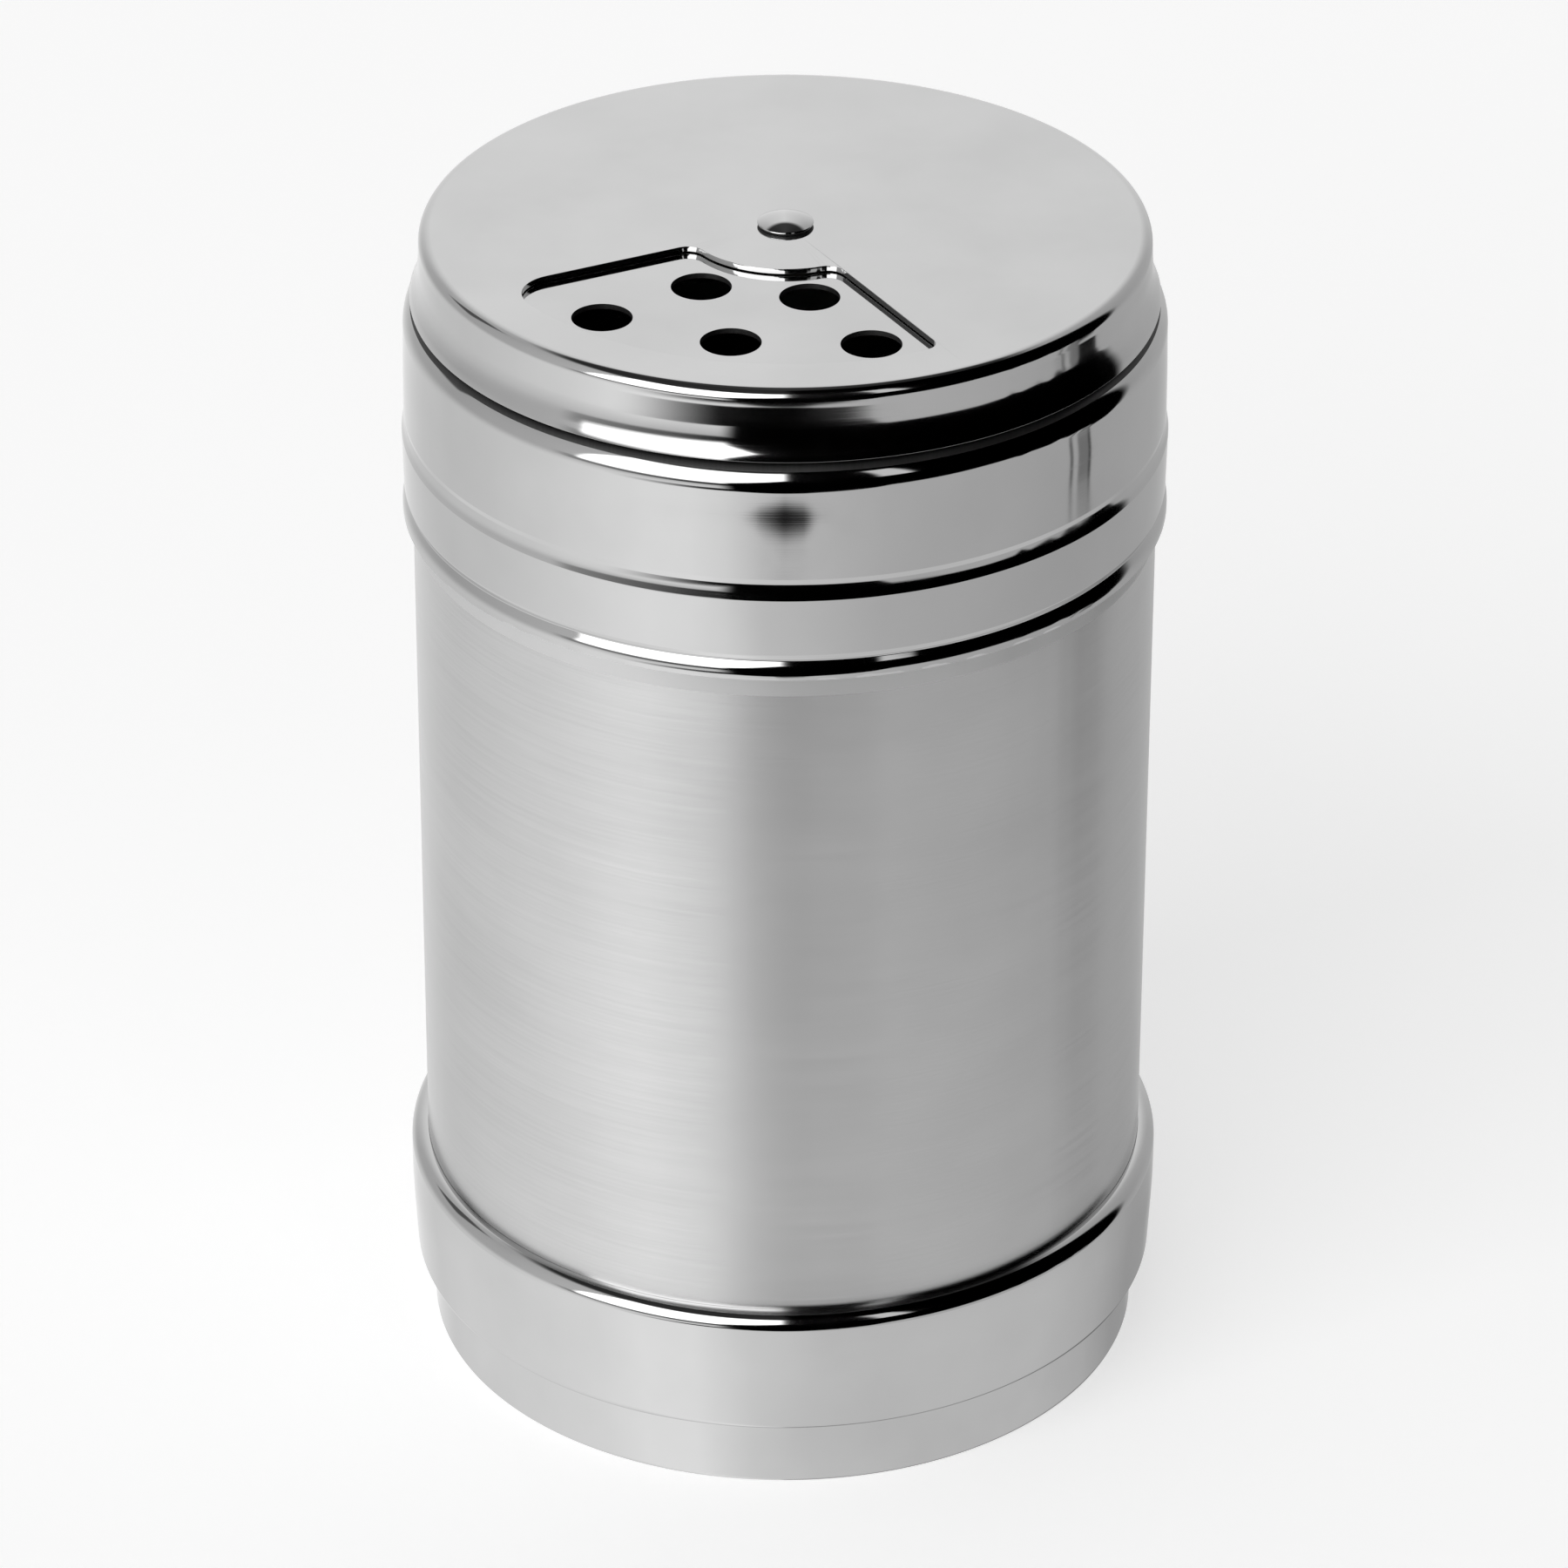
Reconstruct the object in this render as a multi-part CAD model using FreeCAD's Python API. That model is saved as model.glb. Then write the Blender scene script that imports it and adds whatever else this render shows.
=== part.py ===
# Spice shaker with a rotating cap: a brushed steel can in a polished base cup, closed by a
# screw-on lid. A cap with a fan-shaped window turns on a rivet over the lid's perforated plate.
# Millimetres. +Z is up, the origin is the centre of the base on the table, and -Y is the front.
import FreeCAD
import Part
import math
import os

# Sheet metal
CAN_SHEET = 0.40
BASE_SHEET = 0.45
LID_SHEET = 0.40
CAP_SHEET = 0.40
FINE_ROUND = 0.70         # roundings inside a sheet that are smaller than this are left sharp

# Fits between pieces
PRESS_GAP = 0.02          # pieces that are pressed together
PIVOT_GAP = 0.08          # cap on the rivet's shank, per side
SKIRT_GAP = 0.22          # lid skirt over the can
CAP_GAP = 0.33            # cap skirt round the lid's raised boss
LIP_GAP = 0.10            # cap lip over the top of the lid's shoulder
BORE_GAP = 0.20           # thread's crest to the liner's bore, and seal to the bore
RIM_GAP = 0.05            # can rim to the seal

# Base cup
FOOT_INSET = 0.31         # foot wall inside the can's outer radius
FOOT_HEIGHT = 5.60
FOOT_ROUND = 0.45
FOOT_RING = 2.60          # width of the ring that rests on the table
PANEL_RISE = 1.00         # centre panel above the table
PANEL_SLOPE = 1.20
BAND_STANDOFF = 1.28      # polished band outside the can
BAND_HEIGHT = 10.40       # from the foot's step to the top of the shoulder
BAND_TUCK = 0.31          # how far the band draws in at its lower edge
BAND_TUCK_HEIGHT = 6.00
BAND_EDGE_ROUND = 0.65
BASE_SHOULDER_ROUND = 1.22

# Can
CAN_RADIUS = 27.58
CAN_LENGTH = 65.55        # from the base cup's ledge to the shoulder
CAN_SHOULDER_ROUND = 1.50
NECK_INSET = 2.28
NECK_RISE = 0.50          # slope of the shoulder towards the neck
NECK_HEIGHT = 12.40
RIM_WIDTH = 1.40          # rim turned inwards at the top of the neck
RIM_ROUND = 0.70
THREAD_ROOM = 0.85        # what the lid's thread needs between the neck and the liner
FLOOR_WALL = 5.00
FLOOR_ROUND = 1.20

# Lid
LID_SKIRT = 16.80         # from the skirt's edge to the top of the shoulder
LID_TAPER = 0.18          # upper band inside the lower band
LID_SHOULDER_ROUND = 1.90
EDGE_FLARE = 0.14         # skirt's edge outside the lower band
EDGE_HEIGHT = 0.40
EDGE_FLANK = 0.72
NECKING_DEPTH = 0.22      # shallow groove above the edge
NECKING_HEIGHT = 0.40
GROOVE_HEIGHT = 6.30      # lower lip of the rolled groove above the edge
GROOVE_LIP = 0.07
GROOVE_DEPTH = 0.35
GROOVE_FLANK = 1.15       # long lower flank of the groove, which faces up
GROOVE_TOP = 0.35
BOSS_INSET = 2.20         # raised boss inside the lower band
BOSS_HEIGHT = 4.90
BOSS_ROUND = 0.80

# Holes in the perforated plate: one on the pattern's middle line and two pairs beside it
HOLE_RADIUS = 2.15
HOLES_ANGLE = 257.95      # middle line of the pattern, degrees counter-clockwise from +X
MIDDLE_HOLE_REACH = 18.45
OUTER_HOLES_REACH = 19.30
OUTER_HOLES_SPREAD = 30.5 # degrees from the middle line
INNER_HOLES_REACH = 11.00
INNER_HOLES_SPREAD = 21.2
POUR_ANGLE = 73.00        # middle of the pour opening

# Cap window and pour opening
WINDOW_INNER = 7.35
WINDOW_OUTER = 22.00
WINDOW_START = 206.50
WINDOW_END = 299.40
WINDOW_ROUND = 1.30
POUR_INNER = 9.60
POUR_OUTER = 21.00
POUR_SPAN = 76.0

# Liner and seal
SEAL_THICKNESS = 1.20
SEAL_WIDTH = 2.80
FLANGE_THICKNESS = 1.35
FLANGE_WIDTH = 3.10
LINER_LIFT = 1.30         # liner's lower edge above the can's shoulder
LINER_RELIEF = 0.60

# Cap
CAP_ROUND = 1.00
FLARE_WIDTH = 0.77
FLARE_HEIGHT = 1.85
FLARE_ROUND = 7.00

# Rivet and washers
SHANK_RADIUS = 1.20
HEAD_RADIUS = 2.20
HEAD_HEIGHT = 0.80
HEAD_EDGE = 0.40
HEAD_ROUND = 0.30
WEAR_RADIUS = 6.50
WEAR_THICKNESS = 0.10
SPRING_RADIUS = 4.60
SPRING_SHEET = 0.30
SPRING_CONE = 0.35
BACKING_RADIUS = 3.60
BACKING_THICKNESS = 0.40
TAIL_RADIUS = 2.00
TAIL_HEIGHT = 0.60
TAIL_BORE = 0.70
TAIL_DEPTH = 1.60

# Radii that follow from the sizes above
can_inner = CAN_RADIUS - CAN_SHEET
neck_outer = CAN_RADIUS - NECK_INSET
neck_inner = neck_outer - CAN_SHEET
liner_bore = neck_outer + THREAD_ROOM + BORE_GAP
skirt_inner = CAN_RADIUS + SKIRT_GAP
lower_band = skirt_inner + LID_SHEET
upper_band = lower_band - LID_TAPER
boss_outer = lower_band - BOSS_INSET
cap_inner = boss_outer + CAP_GAP
cap_outer = cap_inner + CAP_SHEET
foot_outer = CAN_RADIUS - FOOT_INSET
band_outer = CAN_RADIUS + BAND_STANDOFF
groove_radius = lower_band - GROOVE_DEPTH
liner_outer = upper_band - LID_SHEET - PRESS_GAP

# Heights that follow from the sizes above
ledge_z = FOOT_HEIGHT + BASE_SHEET
base_top_z = FOOT_HEIGHT + BAND_HEIGHT
shoulder_z = ledge_z + CAN_LENGTH
rim_z = shoulder_z + NECK_HEIGHT
seal_z = rim_z + RIM_GAP
flange_z = seal_z + SEAL_THICKNESS
liner_top_z = flange_z + FLANGE_THICKNESS
lid_shoulder_z = liner_top_z + LID_SHEET
lid_edge_z = lid_shoulder_z - LID_SKIRT
plate_top_z = lid_shoulder_z + BOSS_HEIGHT
plate_under_z = plate_top_z - LID_SHEET
cap_under_z = plate_top_z + WEAR_THICKNESS
cap_top_z = cap_under_z + CAP_SHEET
lip_z = lid_shoulder_z + LIP_GAP
backing_top_z = plate_under_z - SPRING_SHEET - SPRING_CONE
backing_under_z = backing_top_z - BACKING_THICKNESS
groove_z = lid_edge_z + GROOVE_HEIGHT
liner_under_z = shoulder_z + LINER_LIFT

UP = FreeCAD.Vector(0, 0, 1)
ORIGIN = FreeCAD.Vector(0, 0, 0)
FULL_TURN = 360.0


def at(radius, height):
    """A point of a half section, in the XZ plane."""
    return FreeCAD.Vector(radius, 0, height)


def outline(corners):
    """Edges through (radius, height, rounding) corners, with a tangent arc at each rounded one."""
    edges = []
    last = at(*corners[0][:2])
    for before, corner, after in zip(corners, corners[1:], corners[2:]):
        point, rounding = at(*corner[:2]), corner[2]
        back = (at(*before[:2]) - point).normalize()
        ahead = (at(*after[:2]) - point).normalize()
        if rounding <= 0:
            edges.append(Part.makeLine(last, point))
            last = point
            continue
        half = back.getAngle(ahead) / 2
        reach = rounding / math.tan(half)
        start, end = point + back * reach, point + ahead * reach
        centre = point + (back + ahead).normalize() * (rounding / math.sin(half))
        middle = centre + (point - centre).normalize() * rounding
        if (start - last).Length > Part.Precision.confusion():
            edges.append(Part.makeLine(last, start))
        edges.append(Part.Arc(start, middle, end).toShape())
        last = end
    edges.append(Part.makeLine(last, at(*corners[-1][:2])))
    return edges


def offset(corners, distance):
    """The corners of the same outline, moved to its left, with its smallest roundings left out."""
    moved = []
    sides = []
    for a, b in zip(corners, corners[1:]):
        along = (at(*b[:2]) - at(*a[:2])).normalize()
        left = FreeCAD.Vector(-along.z, 0, along.x) * distance
        sides.append((at(*a[:2]) + left, along, left))
    first = sides[0][0]
    moved.append((first.x, first.z, 0))
    for (p, d, _), (q, e, _), corner in zip(sides, sides[1:], corners[1:]):
        turn = d.x * e.z - d.z * e.x
        step = ((q.x - p.x) * e.z - (q.z - p.z) * e.x) / turn
        meet = p + d * step
        change = -distance if turn > 0 else distance
        rounding = corner[2] + change
        if rounding < FINE_ROUND:
            rounding = 0
        moved.append((meet.x, meet.z, rounding))
    last = at(*corners[-1][:2]) + sides[-1][2]
    moved.append((last.x, last.z, 0))
    return moved


def revolve(edges):
    """A solid of revolution about the axis from the edges of a closed half section."""
    wire = Part.Wire(Part.__sortEdges__(edges))
    return Part.Face(wire).revolve(ORIGIN, UP, FULL_TURN)


def turned(corners):
    """A solid of revolution from the closed polygon of (radius, height, rounding) corners."""
    first, second = corners[0], corners[1]
    middle = ((first[0] + second[0]) / 2, (first[1] + second[1]) / 2, 0)
    return revolve(outline([middle] + list(corners[1:]) + [first, middle]))


def pressed(corners, thickness):
    """A sheet-metal shell of revolution, its thickness laid to the left of the outline."""
    inner = offset(corners, thickness)
    ends = [
        Part.makeLine(at(*corners[0][:2]), at(*inner[0][:2])),
        Part.makeLine(at(*corners[-1][:2]), at(*inner[-1][:2])),
    ]
    return revolve(outline(corners) + outline(inner) + ends)


def ring(inner, outer, low, high):
    """A plain washer."""
    return turned([(inner, low, 0), (outer, low, 0), (outer, high, 0), (inner, high, 0)])


def drill(radius, low, high, reach=0.0, angle=0.0):
    """A round tool that stands at a reach and an angle from the axis."""
    foot = FreeCAD.Vector(reach, 0, low)
    tool = Part.makeCylinder(radius, high - low, foot, UP)
    tool.rotate(ORIGIN, UP, angle)
    return tool


def is_upright(edge):
    """Whether an edge stands parallel to the axis."""
    lean = edge.tangentAt(edge.FirstParameter).cross(UP)
    return lean.Length < Part.Precision.confusion()


def is_rim(edge, radius, height):
    """Whether an edge is the circle of a radius at a height."""
    start = edge.valueAt(edge.FirstParameter)
    reach = math.hypot(start.x, start.y)
    near = Part.Precision.confusion()
    return edge.Closed and abs(reach - radius) < near and abs(start.z - height) < near


def fan(inner, outer, start, end, low, high, rounding):
    """A fan-shaped tool between two radii and two angles, with rounded corners."""
    section = [at(inner, low), at(outer, low), at(outer, high), at(inner, high), at(inner, low)]
    sector = Part.Face(Part.makePolygon(section)).revolve(ORIGIN, UP, end - start)
    sector.rotate(ORIGIN, UP, start)
    upright = [edge for edge in sector.Edges if is_upright(edge)]
    return sector.makeFillet(rounding, upright)


def base_cup():
    """Polished drawn cup: foot with a raised centre panel, step, tucked band and closed shoulder."""
    ring_inner = foot_outer - FOOT_ROUND - FOOT_RING
    panel = ring_inner - PANEL_SLOPE
    tuck = band_outer - BAND_TUCK
    tuck_z = FOOT_HEIGHT + BAND_TUCK_HEIGHT
    return pressed(
        [
            (0, PANEL_RISE, 0),
            (panel, PANEL_RISE, 0),
            (ring_inner, 0, 0),
            (foot_outer, 0, FOOT_ROUND),
            (foot_outer, FOOT_HEIGHT, 0),
            (tuck, FOOT_HEIGHT, BAND_EDGE_ROUND),
            (band_outer, tuck_z, 0),
            (band_outer, base_top_z, BASE_SHOULDER_ROUND),
            (CAN_RADIUS + PRESS_GAP, base_top_z, 0),
        ],
        BASE_SHEET,
    )


def inner_floor():
    """Drawn dish pressed into the lower end of the can: what the spice lies on."""
    edge = can_inner - PRESS_GAP
    return pressed(
        [(0, ledge_z, 0), (edge, ledge_z, FLOOR_ROUND), (edge, ledge_z + FLOOR_WALL, 0)],
        CAN_SHEET,
    )


def body_sleeve():
    """Brushed can wall, necked in at the top, with its rim turned inwards."""
    return pressed(
        [
            (CAN_RADIUS, ledge_z, 0),
            (CAN_RADIUS, shoulder_z, CAN_SHOULDER_ROUND),
            (neck_outer, shoulder_z + NECK_RISE, 0),
            (neck_outer, rim_z, RIM_ROUND),
            (neck_outer - RIM_WIDTH, rim_z, 0),
        ],
        CAN_SHEET,
    )


def lid_shell():
    """Polished drawn lid: flared edge, rolled groove, shoulder and raised perforated plate."""
    edge_radius = lower_band + EDGE_FLARE
    necking = lower_band - NECKING_DEPTH
    necking_z = lid_edge_z + EDGE_HEIGHT + EDGE_FLANK
    groove_deep_z = groove_z + GROOVE_FLANK
    shell = pressed(
        [
            (edge_radius, lid_edge_z, 0),
            (edge_radius, lid_edge_z + EDGE_HEIGHT, 0),
            (necking, necking_z, 0),
            (lower_band, necking_z + NECKING_HEIGHT, 0),
            (lower_band + GROOVE_LIP, groove_z, 0),
            (groove_radius, groove_deep_z, 0),
            (upper_band, groove_deep_z + GROOVE_TOP, 0),
            (upper_band, lid_shoulder_z, LID_SHOULDER_ROUND),
            (boss_outer, lid_shoulder_z, 0),
            (boss_outer, plate_top_z, BOSS_ROUND),
            (0, plate_top_z, 0),
        ],
        LID_SHEET,
    )
    low, high = plate_under_z - LID_SHEET, plate_top_z + LID_SHEET
    tools = [drill(SHANK_RADIUS + PRESS_GAP, low, high)]
    holes = [
        (MIDDLE_HOLE_REACH, HOLES_ANGLE),
        (OUTER_HOLES_REACH, HOLES_ANGLE - OUTER_HOLES_SPREAD),
        (OUTER_HOLES_REACH, HOLES_ANGLE + OUTER_HOLES_SPREAD),
        (INNER_HOLES_REACH, HOLES_ANGLE - INNER_HOLES_SPREAD),
        (INNER_HOLES_REACH, HOLES_ANGLE + INNER_HOLES_SPREAD),
    ]
    for reach, angle in holes:
        tools.append(drill(HOLE_RADIUS, low, high, reach, angle))
    start, end = POUR_ANGLE - POUR_SPAN / 2, POUR_ANGLE + POUR_SPAN / 2
    tools.append(fan(POUR_INNER, POUR_OUTER, start, end, low, high, WINDOW_ROUND))
    return shell.cut(tools)


def thread_liner():
    """Moulded ring that the lid's rolled groove grips, with a flange that bears on the seal."""
    relief = groove_radius - LID_SHEET - PRESS_GAP
    relief_z = groove_z + GROOVE_FLANK
    corner = LID_SHOULDER_ROUND
    return turned(
        [
            (liner_bore, liner_under_z, 0),
            (liner_outer, liner_under_z, 0),
            (liner_outer, relief_z - LINER_RELIEF, 0),
            (relief, relief_z, 0),
            (liner_outer, relief_z + LINER_RELIEF, 0),
            (liner_outer, liner_top_z - corner, 0),
            (liner_outer - corner, liner_top_z, 0),
            (liner_bore - FLANGE_WIDTH, liner_top_z, 0),
            (liner_bore - FLANGE_WIDTH, flange_z, 0),
            (liner_bore, flange_z, 0),
        ]
    )


def seal_ring():
    """Soft flat ring between the can's rim and the liner's flange."""
    outer = liner_bore - BORE_GAP
    return ring(outer - SEAL_WIDTH, outer, seal_z, flange_z)


def rotating_cap():
    """Polished cap with a fan-shaped window, a short skirt and a flared lip."""
    shell = pressed(
        [
            (cap_outer + FLARE_WIDTH, lip_z, 0),
            (cap_outer, lip_z + FLARE_HEIGHT, FLARE_ROUND),
            (cap_outer, cap_top_z, CAP_ROUND),
            (0, cap_top_z, 0),
        ],
        CAP_SHEET,
    )
    low, high = cap_under_z - CAP_SHEET, cap_top_z + CAP_SHEET
    hole = drill(SHANK_RADIUS + PIVOT_GAP, low, high)
    window = fan(WINDOW_INNER, WINDOW_OUTER, WINDOW_START, WINDOW_END, low, high, WINDOW_ROUND)
    return shell.cut([hole, window])


def pivot_rivet():
    """Semi-tubular rivet: domed head over the cap, shank, and a rolled tail under the washers."""
    tail_z = backing_under_z - TAIL_HEIGHT
    edge_z = cap_top_z + HEAD_EDGE
    crown_z = cap_top_z + HEAD_HEIGHT
    rise = crown_z - edge_z
    sphere = (HEAD_RADIUS**2 + rise**2) / (2 * rise)
    half = math.asin(HEAD_RADIUS / sphere) / 2
    middle = at(sphere * math.sin(half), crown_z - sphere * (1 - math.cos(half)))
    dome = Part.Arc(at(HEAD_RADIUS, edge_z), middle, at(0, crown_z)).toShape()
    bore_z = tail_z + TAIL_DEPTH
    rest = [
        (0, crown_z, 0),
        (0, bore_z, 0),
        (TAIL_BORE, bore_z, 0),
        (TAIL_BORE, tail_z + TAIL_HEIGHT, TAIL_HEIGHT),
        (TAIL_RADIUS - TAIL_HEIGHT / 2, tail_z, 0),
        (TAIL_RADIUS, backing_under_z, 0),
        (SHANK_RADIUS, backing_under_z, 0),
        (SHANK_RADIUS, cap_top_z, 0),
        (HEAD_RADIUS, cap_top_z, 0),
        (HEAD_RADIUS, edge_z, 0),
    ]
    rivet = revolve([dome] + outline(rest))
    rims = [edge for edge in rivet.Edges if is_rim(edge, HEAD_RADIUS, edge_z)]
    return rivet.makeFillet(HEAD_ROUND, rims)


def wear_washer():
    """Slippery washer that holds the cap off the plate."""
    return ring(SHANK_RADIUS + PRESS_GAP, WEAR_RADIUS, plate_top_z, cap_under_z)


def spring_washer():
    """Conical washer under the plate that keeps the cap snug."""
    bore = SHANK_RADIUS + PIVOT_GAP
    return turned(
        [
            (bore, backing_top_z, 0),
            (BACKING_RADIUS, backing_top_z, 0),
            (SPRING_RADIUS, backing_top_z + SPRING_CONE, 0),
            (SPRING_RADIUS, plate_under_z, 0),
            (SPRING_RADIUS - SPRING_SHEET, plate_under_z, 0),
            (bore, backing_top_z + SPRING_SHEET, 0),
        ]
    )


def backing_washer():
    """Flat washer that the rivet's tail is rolled against."""
    return ring(SHANK_RADIUS + PRESS_GAP, BACKING_RADIUS, backing_under_z, backing_top_z)


PIECES = [
    base_cup,
    inner_floor,
    body_sleeve,
    seal_ring,
    thread_liner,
    lid_shell,
    wear_washer,
    rotating_cap,
    pivot_rivet,
    spring_washer,
    backing_washer,
]

os.makedirs("parts", exist_ok=True)
for piece in PIECES:
    shape = piece()
    shape.exportStep(f"parts/{piece.__name__}.step")
    solids = len(shape.Solids)
    print(f"{piece.__name__}: {solids} solid, valid {shape.isValid()}, {shape.Volume:.1f} mm3")
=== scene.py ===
"""Looks of a round spice shaker: polished and brushed stainless steel, with a rotating cap.

The shaker is pressed from sheet, so each of its shells is an outline that is spun round the
can's axis and given the sheet's thickness. Sizes are in millimetres, as in a workshop drawing,
and become metres when a mesh is made. The front of the shaker faces -Y.
"""

import logging
import math
from abc import ABC, abstractmethod
from dataclasses import dataclass, field
from enum import Enum
from typing import Any, Callable, Iterable, Sequence

import bpy
from mathutils import Matrix, Vector


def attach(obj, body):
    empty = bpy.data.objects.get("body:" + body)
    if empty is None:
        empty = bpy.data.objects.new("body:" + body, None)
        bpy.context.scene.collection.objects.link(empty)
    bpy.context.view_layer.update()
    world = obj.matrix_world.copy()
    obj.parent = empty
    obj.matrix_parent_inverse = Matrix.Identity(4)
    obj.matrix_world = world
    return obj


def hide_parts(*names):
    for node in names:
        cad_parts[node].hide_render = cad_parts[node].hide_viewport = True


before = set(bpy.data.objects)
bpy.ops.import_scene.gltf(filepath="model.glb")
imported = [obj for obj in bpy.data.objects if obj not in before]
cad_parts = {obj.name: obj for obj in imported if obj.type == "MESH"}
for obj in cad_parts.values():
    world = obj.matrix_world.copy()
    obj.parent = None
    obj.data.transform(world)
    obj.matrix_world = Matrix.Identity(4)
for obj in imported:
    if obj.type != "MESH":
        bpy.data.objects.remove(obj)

logging.basicConfig(level=logging.INFO, format="%(levelname)s %(message)s")
log = logging.getLogger("shaker")

MM = 0.001
SPIN_STEPS = 256
ARC_STEP = math.radians(7.5)
FAN_STEP = 22.0  # degrees times millimetres, so that a wider arc has finer steps
SAME_POINT = 1e-3
MERGE_DISTANCE = 1e-7
SMOOTH_BELOW = math.radians(32)
DRILL_SIDES = 72
THREAD_STEP = 0.16
ON_WALL = 0.01

Corner = tuple[float, float, float]
Point = tuple[float, float]
Stops = tuple[tuple[float, float], ...]


# Outlines


def rounded(corners: Sequence[Corner]) -> list[Point]:
    """Points along an outline, with a fine arc at each rounded corner.

    Args:
        corners: (radius, height, rounding) of each corner, in millimetres.

    Returns:
        The (radius, height) points of the outline, in millimetres.
    """
    points = [corners[0][:2]]
    for before, corner, after in zip(corners, corners[1:], corners[2:]):
        here = Vector(corner[:2])
        rounding = corner[2]
        if rounding <= 0:
            points.append(corner[:2])
            continue
        back = (Vector(before[:2]) - here).normalized()
        ahead = (Vector(after[:2]) - here).normalized()
        half = back.angle(ahead) / 2
        centre = here + (back + ahead).normalized() * (rounding / math.sin(half))
        start = here + back * (rounding / math.tan(half)) - centre
        sweep = start.angle_signed(here + ahead * (rounding / math.tan(half)) - centre)
        count = max(3, math.ceil(abs(sweep) / ARC_STEP))
        for index in range(count + 1):
            turn = -sweep * index / count
            x = start.x * math.cos(turn) - start.y * math.sin(turn)
            y = start.x * math.sin(turn) + start.y * math.cos(turn)
            points.append((centre.x + x, centre.y + y))
    points.append(corners[-1][:2])
    return points


def fan_outline(
    inner: float, outer: float, start: float, end: float, roundings: Sequence[float]
) -> list[Point]:
    """The plan outline of a fan-shaped window with rounded corners.

    Args:
        inner: Radius of the arc nearer the axis.
        outer: Radius of the outer arc.
        start: Angle of the first side, in degrees from +X.
        end: Angle of the last side, in degrees from +X.
        roundings: Radius of each corner: outer last, inner last, inner first, outer first.

    Returns:
        The (x, y) points in order, in millimetres.
    """
    points: list[Point] = []

    def on(radius: float, angle: float) -> Point:
        """The point at a radius from the axis and an angle in degrees."""
        return radius * math.cos(math.radians(angle)), radius * math.sin(math.radians(angle))

    def arc(centre: Point, radius: float, first: float, last: float) -> None:
        """Adds an arc to the outline.

        Args:
            centre: Centre of the arc.
            radius: Radius of the arc.
            first: Angle that it starts at, in degrees.
            last: Angle that it ends at, in degrees.
        """
        count = max(4, round(abs(last - first) * radius / FAN_STEP))
        for index in range(count + 1):
            x, y = on(radius, first + (last - first) * index / count)
            points.append((centre[0] + x, centre[1] + y))

    def corner(side: float, sense: int, reach: float, rounding: float) -> tuple[float, Point]:
        """Finds the centre of a rounded corner on one of the straight sides.

        Args:
            side: Angle of the side, in degrees.
            sense: 1 where the window lies at greater angles, and -1 at smaller ones.
            reach: Distance of the centre from the axis.
            rounding: Radius of the corner.

        Returns:
            Degrees from the side to the centre, and the centre.
        """
        lean = math.degrees(math.asin(rounding / reach)) * sense
        return lean, on(reach, side + lean)

    outer_last, inner_last, inner_first, outer_first = roundings
    lean_a, centre_a = corner(end, -1, outer - outer_last, outer_last)
    lean_b, centre_b = corner(end, -1, inner + inner_last, inner_last)
    lean_c, centre_c = corner(start, 1, inner + inner_first, inner_first)
    lean_d, centre_d = corner(start, 1, outer - outer_first, outer_first)
    arc((0, 0), outer, start + lean_d, end + lean_a)
    arc(centre_a, outer_last, end + lean_a, end + 90)
    arc(centre_b, inner_last, end + 90, end + 180 + lean_b)
    arc((0, 0), inner, end + lean_b, start + lean_c)
    arc(centre_c, inner_first, start + 180 + lean_c, start + 270)
    arc(centre_d, outer_first, start + 270, start + 360 + lean_d)
    clean = [points[0]]
    for point in points[1:]:
        if math.dist(point, clean[-1]) > SAME_POINT:
            clean.append(point)
    if math.dist(clean[0], clean[-1]) < SAME_POINT:
        clean.pop()
    return clean


# Meshes


def draw(name: str, points: Sequence[Sequence[float]]) -> bpy.types.Object:
    """Draws a wire by extruding one vertex from point to point, and stays in edit mode.

    Args:
        name: Name of the new object.
        points: (x, y, z) of each point, in millimetres.

    Returns:
        The new object, with the whole wire selected.
    """
    bpy.ops.object.select_all(action="DESELECT")
    bpy.ops.mesh.primitive_plane_add(size=MM, location=(0, 0, 0))
    piece = bpy.context.object
    piece.name = piece.data.name = name
    bpy.ops.object.mode_set(mode="EDIT")
    bpy.ops.mesh.select_mode(type="VERT")
    bpy.ops.mesh.select_all(action="SELECT")
    bpy.ops.mesh.merge(type="CENTER")
    bpy.ops.transform.translate(value=Vector(points[0]) * MM)
    for last, point in zip(points, points[1:]):
        step = (Vector(point) - Vector(last)) * MM
        bpy.ops.mesh.extrude_region_move(TRANSFORM_OT_translate={"value": step})
    bpy.ops.mesh.select_all(action="SELECT")
    return piece


def spun(name: str, outline: Sequence[Point], closed: bool = False) -> bpy.types.Object:
    """Spins an outline round the can's axis into a smooth surface whose faces point outwards.

    Args:
        name: Name of the new object.
        outline: (radius, height) points in millimetres.
        closed: Whether the last point joins the first.

    Returns:
        The new object, in object mode.
    """
    wire = [(radius, 0, height) for radius, height in outline]
    piece = draw(name, wire + wire[:1] if closed else wire)
    bpy.ops.mesh.spin(
        steps=SPIN_STEPS, angle=math.tau, center=(0, 0, 0), axis=(0, 0, 1)
    )
    bpy.ops.mesh.select_all(action="SELECT")
    bpy.ops.mesh.remove_doubles(threshold=MERGE_DISTANCE)
    bpy.ops.mesh.normals_make_consistent(inside=False)
    bpy.ops.object.mode_set(mode="OBJECT")
    widest = max(piece.data.polygons, key=lambda f: f.center.xy.length)
    if widest.normal.xy.dot(widest.center.xy) < 0:
        bpy.ops.object.mode_set(mode="EDIT")
        bpy.ops.mesh.flip_normals()
        bpy.ops.object.mode_set(mode="OBJECT")
    return piece


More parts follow.
